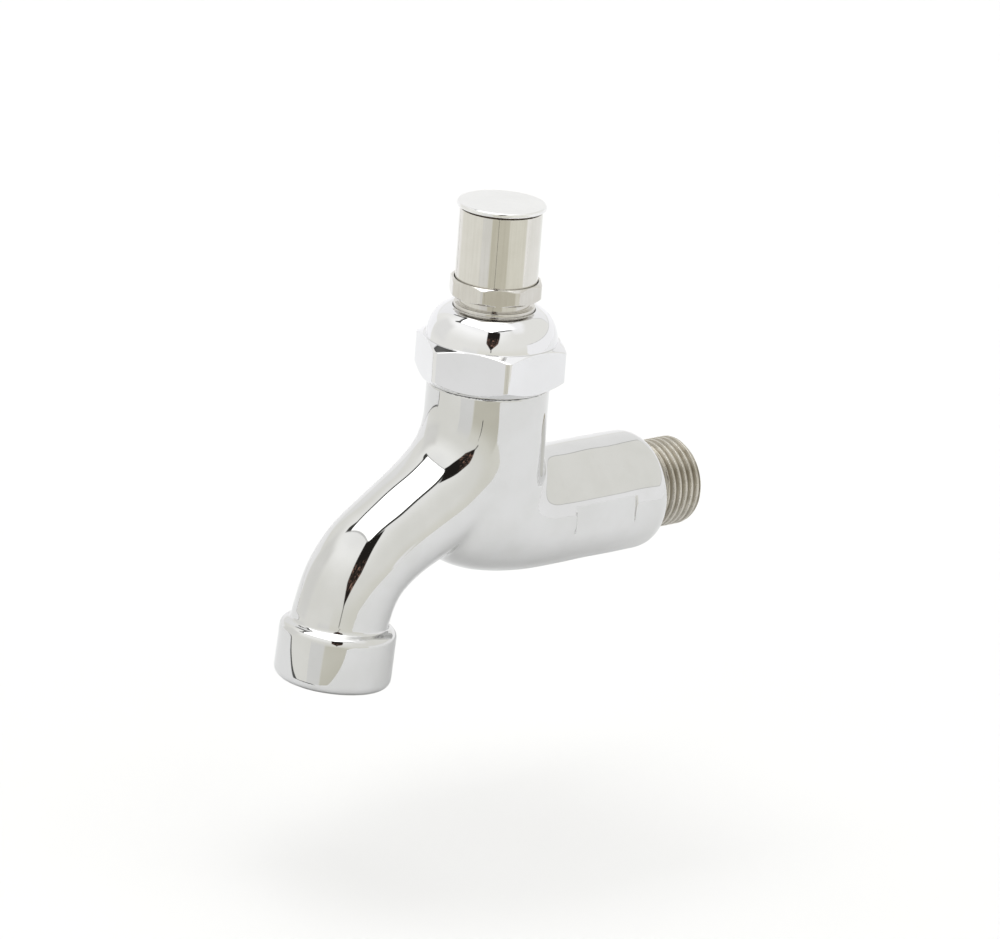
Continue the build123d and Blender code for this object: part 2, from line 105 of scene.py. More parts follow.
# Outlet collar at the spout's end.
OUTLET_REACH = 40.9
OUTLET_DROP = 33.2
OUTLET_TILT = radians(4.8)
COLLAR_R = 13.7
COLLAR_HEIGHT = 14.0
COLLAR_ROUND = 2.2

# Fillets where the casting's shapes meet, and the softness of its edges.
SHANK_BLEND = 5.1
SPOUT_BLEND = 3.0
COLLAR_BLEND = 1.6
FLAT_SOFTNESS = 0.35
TOP_SOFTNESS = 0.5
BORE_SOFTNESS = 0.8

# Waterway inside the casting.
INLET_BORE_R = 6.5
LOWER_CHAMBER_R = 7.5
LOWER_CHAMBER_TOP = 7.5
BRIDGE_HOLE_R = 6.5
BRIDGE_LOW = 3.0
BRIDGE_HIGH = 15.0
CHAMBER_R = 10.5
CHAMBER_FLOOR = 11.5
PASSAGE_R = 5.8
PASSAGE_FIRST_STEP = 24
OUTLET_BORE_R = 9.5
OUTLET_BORE_DEPTH = 12.0

# Shallow hollows that hand polishing leaves: sine waves as (radians per millimetre, phase).
POLISH_DEPTH = 0.05
POLISH_WAVES = (
    ((0.42, 0.31, 0.22), 0.0),
    ((-0.25, 0.44, 0.30), 2.1),
    ((0.18, -0.27, 0.47), 4.4),
)

# Pipe thread on the inlet nipple.
THREAD_R = 10.6
THREAD_DEPTH = 1.1
THREAD_PITCH = 25.4 / 14
THREAD_CHAMFER_LENGTH = 0.9
THREAD_CHAMFER_DEPTH = 1.3
THREAD_RUNOUT = 1.2
NIPPLE_OVERLAP = 0.2
INLET_EDGE_ROUND = 0.4

# Hexagon nut, octagonal gland and push cap. A turn is the angle to the middle of a face.
NUT_APOTHEM = 31.75 / 2
NUT_TURN = radians(4)
OCTAGON_APOTHEM = 11.2 * cos(pi / 8)
OCTAGON_TURN = radians(33 - 22.5)
CAP_SEAM = 74.85

# Camera: angles from the faucet, lens and sensor in millimetres, distance and aim in metres.
CAMERA_AZIMUTH = radians(48.64)
CAMERA_ELEVATION = radians(18.0)
CAMERA_ROLL = radians(4.52)
CAMERA_DISTANCE = 1.446
CAMERA_AIM = (0.0003, -0.0560, 0.0109)
CAMERA_LENS = 222.95
CAMERA_SENSOR = 36.0

# Stage, in metres: the floor, and the white paper that only reflections see.
FLOOR_REACH = 9.0
FLOOR_GAP = 0.05
PAPER_HEIGHT = -0.036
PAPER_FRONT = [
    (0.255, -0.125), (0.01, -0.130), (-0.03, -0.150), (-0.170, -0.207), (-0.31, -0.065), (-0.75, 0.35),
]
PAPER_BACK = 1.2
EDGE_WIDTH = 0.005
CABLE_LINE = [(0.163, -0.226), (0.65, -0.70)]
SHADOW_CENTRE = (-0.052, 0.0)
SHADOW_NEAR = 0.012
SHADOW_FAR = 0.06


# --- Distance functions for the casting -------------------------------------------------------
def natural_spline(points, count):
    """Points spread along the natural cubic spline through the given points."""
    knots = np.array(points, float)
    places = np.concatenate([[0], np.cumsum(np.linalg.norm(np.diff(knots, axis=0), axis=1))])
    gaps = np.diff(places)
    matrix = np.eye(len(knots))
    right = np.zeros_like(knots)
    for i in range(1, len(knots) - 1):
        matrix[i, i - 1:i + 2] = gaps[i - 1], 2 * (gaps[i - 1] + gaps[i]), gaps[i]
        slopes = (knots[i + 1] - knots[i]) / gaps[i], (knots[i] - knots[i - 1]) / gaps[i - 1]
        right[i] = 6 * (slopes[0] - slopes[1])
    bend = np.linalg.solve(matrix, right)
    along = np.linspace(0, places[-1], count)
    k = np.clip(np.searchsorted(places, along, side="right") - 1, 0, len(gaps) - 1)
    left = (places[k + 1] - along)[:, None]
    done = (along - places[k])[:, None]
    gap = gaps[k][:, None]
    cubic = (bend[k] * left**3 + bend[k + 1] * done**3) / (6 * gap)
    start = (knots[k] / gap - bend[k] * gap / 6) * left
    end = (knots[k + 1] / gap - bend[k + 1] * gap / 6) * done
    return cubic + start + end


def smooth_min(a, b, reach):
    """The smaller of a and b, rounded where they are within reach of each other."""
    near = np.maximum(reach - np.abs(a - b), 0) / reach
    return np.minimum(a, b) - near**3 * reach / 6


def smooth_max(a, b, reach):
    """The larger of a and b, rounded where they are within reach of each other."""
    return -smooth_min(-a, -b, reach)


def rounded_box(u, v, half_u, half_v, corner):
    """Distance to a rectangle with round corners."""
    du = np.abs(u) - half_u + corner
    dv = np.abs(v) - half_v + corner
    outside = np.hypot(np.maximum(du, 0), np.maximum(dv, 0))
    return outside + np.minimum(np.maximum(du, dv), 0) - corner


def spout_radii(along):
    """Radius along the spout: wide at its root, tucked in inside the neck, then even."""
    radii = (
        SPOUT_R
        + (SPOUT_ROOT_R - SPOUT_R) * np.maximum(0, 1 - along / SPOUT_TAPER_END)
        - SPOUT_TUCK * np.maximum(0, 1 - along / SPOUT_TUCK_END) ** 2
    )
    weights = np.hanning(2 * SPOUT_SMOOTHING + 3)[1:-1]
    padded = np.pad(radii, SPOUT_SMOOTHING, "edge")
    return np.convolve(padded, weights / weights.sum(), "valid")


SPOUT_PATH = natural_spline(SPOUT_POINTS, SPOUT_STEPS)
SPOUT_RADII = spout_radii(np.linspace(0, 1, SPOUT_STEPS))


def tube(p, path, radii):
    """Distance to a tube along a path in the side plane, with one radius per path point."""
    result = np.empty(len(p))
    chunk = 20000
    for first in range(0, len(p), chunk):
        part = p[first:first + chunk]
        forward = (part[:, 1] - NECK_Y)[:, None] - path[None, :, 0]
        up = part[:, 2, None] - path[None, :, 1]
        gap = np.sqrt(part[:, 0, None] ** 2 + forward**2 + up**2) - radii[None]
        best = np.clip(np.argmin(gap, axis=1), 1, len(path) - 2)
        row = np.arange(len(best))
        before, here, after = gap[row, best - 1], gap[row, best], gap[row, best + 1]
        curve = np.maximum(before - 2 * here + after, 1e-12)
        shift = np.clip((before - after) / (2 * curve), -1, 1)
        result[first:first + chunk] = here + (after - before) * shift / 2 + curve * shift**2 / 2
    return result


def outlet_place(p):
    """Distance from the outlet's axis and height above its lip."""
    down = np.array([0, -sin(OUTLET_TILT), -cos(OUTLET_TILT)])
    offset = p - np.array([0, NECK_Y - OUTLET_REACH, -OUTLET_DROP])
    height = -(offset @ down)
    return np.linalg.norm(offset + height[:, None] * down, axis=1), height


def hand_polish(p):
    """Shallow hollows, up to twice POLISH_DEPTH deep."""
    total = 0
    for way, shift in POLISH_WAVES:
        total = total + np.sin(p @ np.array(way) + shift)
    return POLISH_DEPTH * (1 + total / len(POLISH_WAVES))


def neck_distance(p):
    """Distance to the neck: a cylinder closed by a ball at its lower end."""
    across = np.hypot(p[:, 0], p[:, 1] - NECK_Y)
    return np.hypot(across, np.minimum(p[:, 2] - NECK_DOME, 0)) - NECK_R


def shank_distance(p):
    """Distance to the shank: a round bar with a rounded shoulder, and an ellipsoid nose."""
    across = np.hypot(p[:, 0], p[:, 2])
    behind = (p[:, 1] - NOSE_Y) / NOSE_LENGTH
    scaled = np.hypot(across / SHANK_R, behind)
    steepness = np.hypot(across / SHANK_R**2, behind / NOSE_LENGTH)
    nose = scaled * (scaled - 1) / np.maximum(steepness, 1e-9)
    half = 30.0
    bar = rounded_box(across, p[:, 1] - SHOULDER_Y + half, SHANK_R, half, SHOULDER_ROUND)
    return np.where(p[:, 1] < NOSE_Y, nose, bar)


def collar_distance(p):
    """Distance to the outlet collar."""
    across, height = outlet_place(p)
    middle = COLLAR_HEIGHT / 2
    return rounded_box(across, height - middle, COLLAR_R, middle, COLLAR_ROUND)


def flat_cut_distance(p):
    """Distance to the two blocks that cut the wrench flats."""
    outline = rounded_box(p[:, 1] - FLAT_Y, p[:, 2], FLAT_LENGTH / 2, FLAT_HALF_HEIGHT, FLAT_CORNER)
    return np.maximum(outline, FLAT_X - np.abs(p[:, 0]))


def casting_outside(p):
    """Distance to the casting's outer surface: neck, shank, spout and outlet collar."""
    whole = smooth_min(neck_distance(p), shank_distance(p), SHANK_BLEND)
    whole = smooth_min(whole, tube(p, SPOUT_PATH, SPOUT_RADII), SPOUT_BLEND)
    whole = smooth_min(whole, collar_distance(p), COLLAR_BLEND)
    whole = smooth_max(whole, -flat_cut_distance(p), FLAT_SOFTNESS) + hand_polish(p)
    return smooth_max(whole, p[:, 2] - NECK_TOP, TOP_SOFTNESS)


def casting_inside(p):
    """Distance to the waterway: inlet bore, chambers, passage and outlet bore."""
    across = np.hypot(p[:, 0], p[:, 1] - NECK_Y)
    height = p[:, 2]
    inlet = np.maximum(np.hypot(p[:, 0], height) - INLET_BORE_R, NECK_Y - p[:, 1])
    ball = np.hypot(across, height) - LOWER_CHAMBER_R
    lower = np.maximum(across - LOWER_CHAMBER_R, np.maximum(-height, height - LOWER_CHAMBER_TOP))
    bridge = np.maximum(across - BRIDGE_HOLE_R, np.maximum(BRIDGE_LOW - height, height - BRIDGE_HIGH))
    chamber = np.maximum(across - CHAMBER_R, CHAMBER_FLOOR - height)
    path = SPOUT_PATH[PASSAGE_FIRST_STEP:]
    passage = tube(p, path, np.full(len(path), PASSAGE_R))
    across_outlet, above_lip = outlet_place(p)
    outlet = np.maximum(across_outlet - OUTLET_BORE_R, above_lip - OUTLET_BORE_DEPTH)
    return np.minimum.reduce([inlet, ball, lower, bridge, chamber, passage, outlet])


def casting_distance(p):
    """Distance to the finished casting without its threaded nipple."""
    across = np.hypot(p[:, 0], p[:, 1] - NECK_Y)
    half = 10.0
    spigot = rounded_box(across, p[:, 2] - SPIGOT_TOP + half, SPIGOT_R, half, SPIGOT_ROUND)
    outside = np.minimum(casting_outside(p), spigot)
    return smooth_max(outside, -casting_inside(p), BORE_SOFTNESS)


def slope(distance, p, step=0.02):
    """Gradient of a distance function."""
    result = np.zeros_like(p)
    for corner in ((1, -1, -1), (-1, -1, 1), (-1, 1, -1), (1, 1, 1)):
        way = np.array(corner, float)
        result += way * distance(p + step * way)[:, None]
    return result / (4 * step)


def sample_grid(distance, low, high, pitch):
    """Distances on a grid: every fourth point first, and then every point near the surface."""
    coarse = 4
    axes = [np.arange(a, b + coarse * pitch, pitch) for a, b in zip(low, high)]
    grid = np.stack(np.meshgrid(*axes, indexing="ij"), -1)
    shape = grid.shape[:3]
    rough_grid = grid[::coarse, ::coarse, ::coarse]
    rough = distance(rough_grid.reshape(-1, 3)).reshape(rough_grid.shape[:3])
    for axis in range(3):
        rough = np.repeat(rough, coarse, axis)
    value = rough[:shape[0], :shape[1], :shape[2]].copy()
    near = np.abs(value) < 2.2 * coarse * pitch
    value[near] = distance(grid[near])
    return value


def cell_corner(block, corner):
    """The grid values at one corner of every cell."""
    return block[tuple(slice(c, n - 1 + c) for c, n in zip(corner, block.shape))]


def cell_points(value, cells, corners):
    """Middle of the surface's crossings with each cell's edges, in grid steps."""
    total = np.zeros((len(cells), 3))
    hits = np.zeros(len(cells))
    for a in corners:
        for b in corners:
            if (b - a).min() < 0 or (b - a).sum() != 1:
                continue
            at_a = value[tuple((cells + a).T)]
            at_b = value[tuple((cells + b).T)]
            crossed = (at_a < 0) != (at_b < 0)
            share = at_a[crossed] / (at_a[crossed] - at_b[crossed])
            total[crossed] += a + share[:, None] * (b - a)
            hits[crossed] += 1
    return cells + total / hits[:, None]


def cell_quads(inside, number):
    """A quad round every grid edge that the surface crosses, joining its four cells' points."""
    quads = []
    unit = np.eye(3, dtype=int)
    for axis in range(3):
        u = unit[(axis + 1) % 3]
        v = unit[(axis + 2) % 3]
        here = cell_corner(inside, (0, 0, 0))
        there = cell_corner(inside, unit[axis])
        edges = np.argwhere(here != there)
        edges = edges[(edges @ u > 0) & (edges @ v > 0)]
        ring = [number[tuple((edges - s).T)] for s in (0 * u, u, u + v, v)]
        quad = np.stack(ring, 1)
        leaving = here[tuple(edges.T)]
        quad[~leaving] = quad[~leaving][:, ::-1]
        quads.append(quad)
    return np.concatenate(quads)


def neighbour_mean(points, quads):
    """Mean of the points that each point shares a quad's side with."""
    around = np.zeros_like(points)
    weight = np.zeros(len(points))
    for side in range(4):
        here, there = quads[:, side], quads[:, (side + 1) % 4]
        for a, b in ((here, there), (there, here)):
            for axis in range(3):
                around[:, axis] += np.bincount(a, points[b, axis], len(points))
            weight += np.bincount(a, minlength=len(points))
    return around / weight[:, None]


def surface_net(distance, low, high, pitch):
    """Closed quad mesh where the distance is zero: points, quads and surface normals."""
    value = sample_grid(distance, low, high, pitch)
    inside = value < 0
    corners = [np.array((i, j, k)) for i in (0, 1) for j in (0, 1) for k in (0, 1)]
    count = sum(cell_corner(inside, c).astype(int) for c in corners)
    cells = np.argwhere((count > 0) & (count < len(corners)))
    number = np.full(count.shape, -1)
    number[tuple(cells.T)] = np.arange(len(cells))
    points = np.array(low) + cell_points(value, cells, corners) * pitch
    quads = cell_quads(inside, number)
    for _ in range(3):
        points = (points + neighbour_mean(points, quads)) / 2
        way = slope(distance, points)
        step = distance(points) / np.maximum((way**2).sum(1), 0.25)
        points = points - np.clip(step, -pitch, pitch)[:, None] * way
    way = slope(distance, points)
    return points, quads, way / np.linalg.norm(way, axis=1)[:, None]


# --- Structured meshes ------------------------------------------------------------------------
def area_normals(points, quads):
    """Vertex normals in which the larger faces count for much more than the thin rounds."""
    first, second, third, fourth = (points[quads[:, side]] for side in range(4))
    across = np.cross(third - first, fourth - second)
    across = across * np.linalg.norm(across, axis=1)[:, None]
    result = np.zeros_like(points)
    for side in range(4):
        for axis in range(3):
            result[:, axis] += np.bincount(quads[:, side], across[:, axis], len(points))
    return result / np.maximum(np.linalg.norm(result, axis=1), 1e-30)[:, None]


def grid_quads(rows, columns, closed_rows=True):
    """Quads of a grid whose columns close on themselves, and whose rows may."""
    r = np.arange(rows if closed_rows else rows - 1)[:, None]
    c = np.arange(columns)[None]
    next_r = (r + 1) % rows
    next_c = (c + 1) % columns
    quads = [r * columns + c, r * columns + next_c, next_r * columns + next_c, next_r * columns + c]
    return np.stack([np.broadcast_to(q, (len(r), columns)).ravel() for q in quads], 1)


def rounded(corners, longest=0.5):
    """Closed outline of (radius, height, round) corners, with arcs for the rounds and short runs."""
    plain = np.array([c[:2] for c in corners], float)
    outline = []
    for i, (r, z, size) in enumerate(corners):
        here, before, after = plain[i], plain[i - 1], plain[(i + 1) % len(plain)]
        if size == 0:
            outline.append(here)
            continue
        back = (before - here) / np.linalg.norm(before - here)
        ahead = (after - here) / np.linalg.norm(after - here)
        opening = np.arccos(np.clip(back @ ahead, -1, 1))
        reach = size / tan(opening / 2)
        centre = here + (back + ahead) / np.linalg.norm(back + ahead) * size / sin(opening / 2)
        start, end = here + back * reach - centre, here + ahead * reach - centre
        turn = pi - opening
        steps = max(3, int(turn / radians(15)))
        for k in range(steps + 1):
            part = k / steps
            arc = (sin((1 - part) * turn) * start + sin(part * turn) * end) / sin(turn)
            outline.append(centre + arc)
    fine = []
    for here, there in zip(outline, outline[1:] + outline[:1]):
        pieces = max(1, int(np.ceil(np.linalg.norm(there - here) / longest)))
        fine += [here + (there - here) * k / pieces for k in range(pieces)]
    return np.array(fine)


def polygon_radius(angles, sides, apothem, turn, corner):
    """Distance from the axis to a regular polygon's rounded outline."""
    sector = 2 * pi / sides
    off = (angles - turn) % sector - sector / 2
    left, right = apothem / np.cos(sector / 2 + off), apothem / np.cos(sector / 2 - off)
    return smooth_min(left, right, corner)


def wrench_columns(count, sides, turn):
    """Angles around the axis, closer together at a polygon's corners."""
    even = np.linspace(0, 2 * pi, count, endpoint=False)
    return even - 0.8 * np.sin(sides * even) / sides + turn


def turned(outline, angles, polygon=None):
    """Points and quads of an outline turned about the neck's axis.
    polygon is (lowest, highest, sides, apothem, turn, corner, edge): between those heights the
    outer surface is also cut to that polygon."""
    radius = np.repeat(outline[:, 0, None], len(angles), 1)
    if polygon:
        lowest, highest, sides, apothem, turn, corner, edge = polygon
        cut = (outline[:, 1] > lowest) & (outline[:, 1] < highest) & (outline[:, 0] > 0.93 * apothem)
        limit = polygon_radius(angles, sides, apothem, turn, corner)
        radius[cut] = smooth_min(radius[cut], limit[None], edge)
    x = radius * np.cos(angles)
    y = radius * np.sin(angles) + NECK_Y
    z = np.repeat(outline[:, 1, None], len(angles), 1)
    points = np.stack([x, y, z], -1).reshape(-1, 3)
    return points, grid_quads(len(outline), len(angles))


# --- Node helpers -----------------------------------------------------------------------------
class Graph:
    """Short calls for building one material's or world's nodes."""

    def __init__(self, owner):
        owner.use_nodes = True
        self.tree = owner.node_tree
        self.tree.nodes.clear()

    def add(self, kind, **settings):
        """A new node with the given settings."""
        made = self.tree.nodes.new(kind)
        for name, value in settings.items():
            setattr(made, name, value)
        return made

    def put(self, socket, value):
        """Link another node's output to a socket, or set the socket to a constant."""
        if isinstance(value, bpy.types.NodeSocket):
            self.tree.links.new(value, socket)
        else:
            socket.default_value = value

    def math(self, operation, *values):
        """Output of a math node."""
        made = self.add("ShaderNodeMath", operation=operation)
        for socket, value in zip(made.inputs, values):
            self.put(socket, value)
        return made.outputs[0]

    def step(self, value, low, high, start=0.0, end=1.0):
        """Goes smoothly from start to end as value goes from low to high."""
        made = self.add("ShaderNodeMapRange", interpolation_type="SMOOTHSTEP")
        for socket, number in zip(made.inputs, (value, low, high, start, end)):
            self.put(socket, number)
        return made.outputs[0]

    def ramp(self, value, low, high, start, end):
        """Goes evenly from start to end as value goes from low to high."""
        made = self.add("ShaderNodeMapRange")
        for socket, number in zip(made.inputs, (value, low, high, start, end)):
            self.put(socket, number)
        return made.outputs[0]

    def band(self, value, low, high, soft):
        """1 between low and high, with soft edges."""
        rise = self.step(value, low - soft, low + soft)
        fall = self.step(value, high - soft, high + soft, 1.0, 0.0)
        return self.math("MULTIPLY", rise, fall)

    def mix(self, share, first, second):
        """Colour that goes from first to second as share goes from 0 to 1."""
        made = self.add("ShaderNodeMix", data_type="RGBA")
        self.put(made.inputs[0], share)
        self.put(made.inputs[6], first)
        self.put(made.inputs[7], second)
        return made.outputs[2]

    def noise(self, vector, scale, detail=2.0, rough=0.5):
        """Noise value at a place."""
        made = self.add("ShaderNodeTexNoise")
        self.put(made.inputs["Vector"], vector)
        self.put(made.inputs["Scale"], scale)
        self.put(made.inputs["Detail"], detail)
        self.put(made.inputs["Roughness"], rough)
        return made.outputs[0]

    def stretch(self, vector, scale):
        """A place multiplied by one factor per axis."""
        made = self.add("ShaderNodeMapping")
        self.put(made.inputs["Vector"], vector)
        self.put(made.inputs["Scale"], scale)
        return made.outputs[0]

    def bump(self, height, distance):
        """Normal tilted by a height; the distance is in metres."""
        made = self.add("ShaderNodeBump")
        self.put(made.inputs["Distance"], distance)
        self.put(made.inputs["Height"], height)
        return made.outputs[0]

    def parts(self, vector):
        """The three numbers of a vector."""
        made = self.add("ShaderNodeSeparateXYZ")
        self.put(made.inputs[0], vector)
        return made.outputs

    def length(self, first, second):
        """Length of the vector with these two parts."""
        squares = [self.math("MULTIPLY", part, part) for part in (first, second)]
        return self.math("SQRT", self.math("ADD", *squares))

    def object_place(self):
        """Place on the object, in its own coordinates."""
        return self.add("ShaderNodeTexCoord").outputs["Object"]


# --- Materials --------------------------------------------------------------------------------
def finish_surface(graph, colour, rough, normal=None, metallic=0.0):
    """The Principled shader and the output, with plain constants on its own sockets."""
    shader = graph.add("ShaderNodeBsdfPrincipled")
    graph.put(shader.inputs["Base Color"], colour)
    graph.put(shader.inputs["Roughness"], rough)
    shader.inputs["Metallic"].default_value = metallic
    if normal is not None:
        graph.put(shader.inputs["Normal"], normal)
    graph.put(graph.add("ShaderNodeOutputMaterial").inputs[0], shader.outputs[0])


def polished(name, bright, dull, smoothness, waviness, wave_size):
    """Plated, polished metal: slow colour clouds, hairline wipe marks, and a soft waviness."""
    made = bpy.data.materials.new(name)
    graph = Graph(made)
    place = graph.object_place()
    clouds = graph.noise(place, 90.0, 3.0, 0.55)
    colour = graph.mix(graph.step(clouds, 0.35, 0.68), (*dull, 1), (*bright, 1))
    wipes = graph.noise(graph.stretch(place, (1.0, 1.0, 9.0)), 900.0, 4.0, 0.6)
    rough = graph.step(wipes, 0.3, 0.8, smoothness[0], smoothness[1])
    wave = graph.noise(place, 1 / wave_size, 1.0, 0.4)
    normal = graph.bump(wave, waviness)
    finish_surface(graph, colour, rough, normal, metallic=1.0)
    return made


def turning_lines(graph, x, y, z):
    """Noise that only changes outwards from the neck's axis and along it."""
    rings = graph.add("ShaderNodeCombineXYZ")
    graph.put(rings.inputs[0], graph.length(x, graph.math("SUBTRACT", y, NECK_Y * MM)))
    graph.put(rings.inputs[2], z)
    return graph.noise(rings.outputs[0], 6000.0, 2.0, 0.7)


def brushed_nickel(name, bright, dull, smoothness, line_depth, seam=1.0):
    """Turned nickel plate: fine turning lines around the neck's axis and a faint warm clouding.
    Above the height of the seam, in metres, it is painted dark brown: painted shade for the recess under
    the disc's rim."""
    made = bpy.data.materials.new(name)
    graph = Graph(made)
    place = graph.object_place()
    x, y, z = graph.parts(place)
    clouds = graph.noise(place, 140.0, 3.0, 0.6)
    streaks = graph.noise(graph.stretch(place, (25.0, 25.0, 1.0)), 60.0, 3.0, 0.6)
    shade = graph.math("MULTIPLY_ADD", streaks, 0.45, graph.math("MULTIPLY", clouds, 0.55))
    colour = graph.mix(graph.step(shade, 0.38, 0.62), (*dull, 1), (*bright, 1))
    # Painted shade: dark brown above the seam, where the recess under the disc lies in shadow.
    colour = graph.mix(graph.step(z, seam, seam + 0.05 * MM), colour, (0.07, 0.05, 0.035, 1))
    turning = turning_lines(graph, x, y, z)
    rough = graph.step(turning, 0.3, 0.7, smoothness[0], smoothness[1])
    normal = graph.bump(turning, line_depth)
    finish_surface(graph, colour, rough, normal, metallic=1.0)
    return made


def thread_metal(name):
    """Bare nickel on the pipe thread: dull grooves whose darker colour is painted shade, worn crests whose
    brighter edges are wear and a painted highlight, and faint brown clouds."""
    made = bpy.data.materials.new(name)
    graph = Graph(made)
    place = graph.object_place()
    x, y, z = graph.parts(place)
    root = (THREAD_R - THREAD_DEPTH) * MM
    margin = 0.15 * MM
    crest = graph.step(graph.length(x, z), root + margin, THREAD_R * MM - margin)
    clouds = graph.noise(place, 260.0, 3.0, 0.6)
    # Painted shade: the grooves get darker colours than the crests.
    groove = graph.mix(graph.step(clouds, 0.35, 0.7), (0.37, 0.34, 0.285, 1), (0.48, 0.45, 0.385, 1))
    land = graph.mix(graph.step(clouds, 0.35, 0.65), (0.42, 0.39, 0.33, 1), (0.54, 0.51, 0.45, 1))
    colour = graph.mix(crest, groove, land)
    turn = graph.math("DIVIDE", graph.math("ARCTAN2", z, x), 2 * pi)
    pitches = graph.math("DIVIDE", y, THREAD_PITCH * MM)
    phase = graph.math("FRACT", graph.math("SUBTRACT", pitches, turn))
    off = graph.math("ABSOLUTE", graph.math("SUBTRACT", phase, 0.5))
    flank = graph.math("MULTIPLY", off, 2.0)
    # Painted highlight, and worn metal: a bright line along each crest's edge.
    colour = graph.mix(graph.band(flank, 0.70, 0.79, 0.03), colour, (0.68, 0.65, 0.58, 1))
    wear = graph.math("MULTIPLY_ADD", clouds, 0.12, graph.step(crest, 0.0, 1.0, 0.32, 0.20))
    tool = graph.noise(place, 2500.0, 2.0, 0.6)
    normal = graph.bump(tool, 0.00003)
    finish_surface(graph, colour, wear, normal, metallic=1.0)
    return made


def plain_metal(name, bright, dull, smoothness):
    """Machined metal on an inner part."""
    made = bpy.data.materials.new(name)
    graph = Graph(made)
    place = graph.object_place()
    clouds = graph.noise(place, 300.0, 3.0, 0.55)
    lines = graph.noise(graph.stretch(place, (1.0, 1.0, 40.0)), 150.0, 2.0, 0.6)
    colour = graph.mix(graph.step(clouds, 0.35, 0.65), (*dull, 1), (*bright, 1))
    rough = graph.step(lines, 0.3, 0.7, smoothness[0], smoothness[1])
    finish_surface(graph, colour, rough, graph.bump(lines, 0.00002), metallic=1.0)
    return made


def soft_matte(name, bright, dull, roughness, grain):
    """Rubber, fibre or plastic: mottled colour and a fine grain."""
    made = bpy.data.materials.new(name)
    graph = Graph(made)
    place = graph.object_place()
    clouds = graph.noise(place, 500.0, 4.0, 0.6)
    fine = graph.noise(place, 4000.0, 2.0, 0.6)
    colour = graph.mix(graph.step(clouds, 0.3, 0.7), (*dull, 1), (*bright, 1))
    rough = graph.step(fine, 0.3, 0.7, roughness - 0.06, roughness + 0.06)
    finish_surface(graph, colour, rough, graph.bump(fine, grain))
    return made


MATERIALS = {
    "body": polished(
        "chrome_casting", (0.69, 0.69, 0.685), (0.66, 0.66, 0.65), (0.025, 0.06), 0.00003, 0.009
    ),
    "nut": polished(
        "chrome_nut", (0.80, 0.80, 0.81), (0.775, 0.775, 0.78), (0.025, 0.05), 0.00001, 0.006
    ),
    # The cap's material carries painted shade above CAP_SEAM, in the recess under the disc.
    "barrel": brushed_nickel(
        "nickel_cap", (0.71, 0.695, 0.655), (0.67, 0.655, 0.61), (0.025, 0.06), 0.000002, CAP_SEAM * MM
    ),
    "gland": brushed_nickel(
        "nickel_gland", (0.67, 0.655, 0.62), (0.62, 0.60, 0.56), (0.04, 0.09), 0.000003
    ),
    "disc": brushed_nickel(
        "nickel_disc", (0.845, 0.845, 0.84), (0.82, 0.82, 0.815), (0.10, 0.18), 0.000002
    ),
    "thread": thread_metal("nickel_thread"),
    "brass": plain_metal("turned_brass", (0.78, 0.62, 0.34), (0.66, 0.50, 0.26), (0.16, 0.30)),
    "stainless": plain_metal("drawn_steel", (0.66, 0.66, 0.65), (0.56, 0.56, 0.55), (0.14, 0.26)),
    "rubber": soft_matte("seal_rubber", (0.035, 0.035, 0.035), (0.02, 0.02, 0.02), 0.62, 0.00002),
    "fibre": soft_matte("gasket_fibre", (0.42, 0.20, 0.14), (0.30, 0.13, 0.09), 0.80, 0.00004),
    "plastic": soft_matte("white_plastic", (0.85, 0.85, 0.82), (0.76, 0.76, 0.72), 0.45, 0.00001),
}

# Material of each slot in the record, for the CAD nodes that stay visible.
SLOT_MATERIALS = {
    "chrome_casting": "body",
    "satin_nickel": "gland",
    "cap_disc_plate": "disc",
    "plain_brass": "brass",
    "stainless": "stainless",
    "black_rubber": "rubber",
    "fibre_gasket": "fibre",
    "white_plastic": "plastic",
}


# --- Pieces -----------------------------------------------------------------------------------
def add_piece(name, shape, material, body, node):
    """Make a smooth closed mesh from millimetre points, and put it in a CAD node's place."""
    points, quads, normals = shape
    mesh = bpy.data.meshes.new(name)
    mesh.from_pydata((points * MM).tolist(), [], quads.tolist())
    mesh.validate()
    mesh.shade_smooth()
    mesh.normals_split_custom_set_from_vertices(normals.tolist())
    made = bpy.data.objects.new(name, mesh)
    bpy.context.scene.collection.objects.link(made)
    mesh.materials.append(MATERIALS[material])
    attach(made, body)
    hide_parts(node)


def with_normals(points, quads):
    """A shape for add_piece, with smooth normals."""
    return points, quads, area_normals(points, quads)


def nipple_outline(back):
    """Rows of (y, radius) along the nipple: outside, chamfer, end face, bore edge, bore and back.
    Also returns how many of them the thread cuts."""
    start = -THREAD_CHAMFER_LENGTH
    outside = [(y, THREAD_R) for y in np.linspace(back, start, 260)]
    face = THREAD_R - THREAD_CHAMFER_DEPTH
    for k in range(1, 9):
        outside.append((start + THREAD_CHAMFER_LENGTH * k / 8, THREAD_R - THREAD_CHAMFER_DEPTH * k / 8))
    edge = INLET_BORE_R + INLET_EDGE_ROUND
    inner = [(0, face + (edge - face) * k / 6) for k in range(1, 7)]
    for angle in (30, 60, 90):
        turn = sin(radians(angle))
        inner.append((-INLET_EDGE_ROUND * turn, INLET_BORE_R + INLET_EDGE_ROUND * (1 - turn)))
    inner += [(y, INLET_BORE_R) for y in np.linspace(-1, back, 20)]
    root = THREAD_R - THREAD_DEPTH
    inner += [(back, INLET_BORE_R + (root - INLET_BORE_R) * k / 5) for k in range(1, 5)]
    return np.array(outside + inner, float), len(outside)


